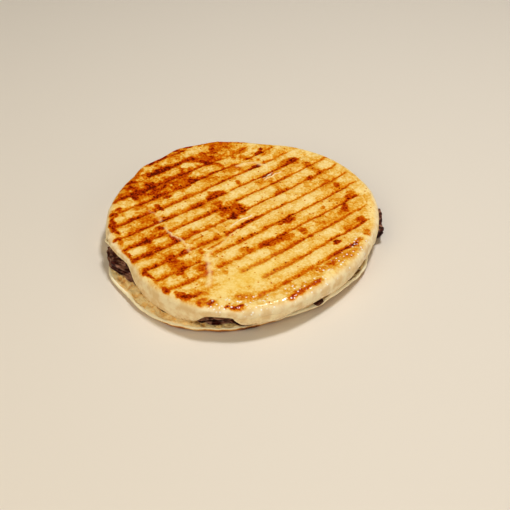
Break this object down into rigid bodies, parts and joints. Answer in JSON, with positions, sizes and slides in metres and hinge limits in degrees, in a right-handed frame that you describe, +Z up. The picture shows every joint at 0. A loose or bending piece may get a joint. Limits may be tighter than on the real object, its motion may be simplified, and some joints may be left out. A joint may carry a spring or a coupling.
{
  "type": "toasted flatbread sandwich",
  "caption": "Round pressed flatbread sandwich with parallel grill marks on its golden face, thin sliced cured meat showing at its sides and a thin lower bread with a curled rim.",
  "frame": {"origin": "middle of the sandwich's bounding box, on the surface it lies on", "axes": "+Z up through the breads, grill marks at 40 degrees from +X towards +Y, -Y is the side that faces the viewer in the picture"},
  "size_m": [0.1623, 0.1695, 0.0193],
  "materials": {
    "crust": "golden toasted bread skin, lightly oiled",
    "crumb": "matt pale bread with open crumb",
    "meat": "moist thin-sliced cured meat"
  },
  "bodies": {
    "root": {"bread_upper": "crust", "bread_lower": "crumb", "meat_slice_lower": "meat", "meat_slice_middle": "meat", "meat_slice_upper": "meat"}
  },
  "joints": []
}
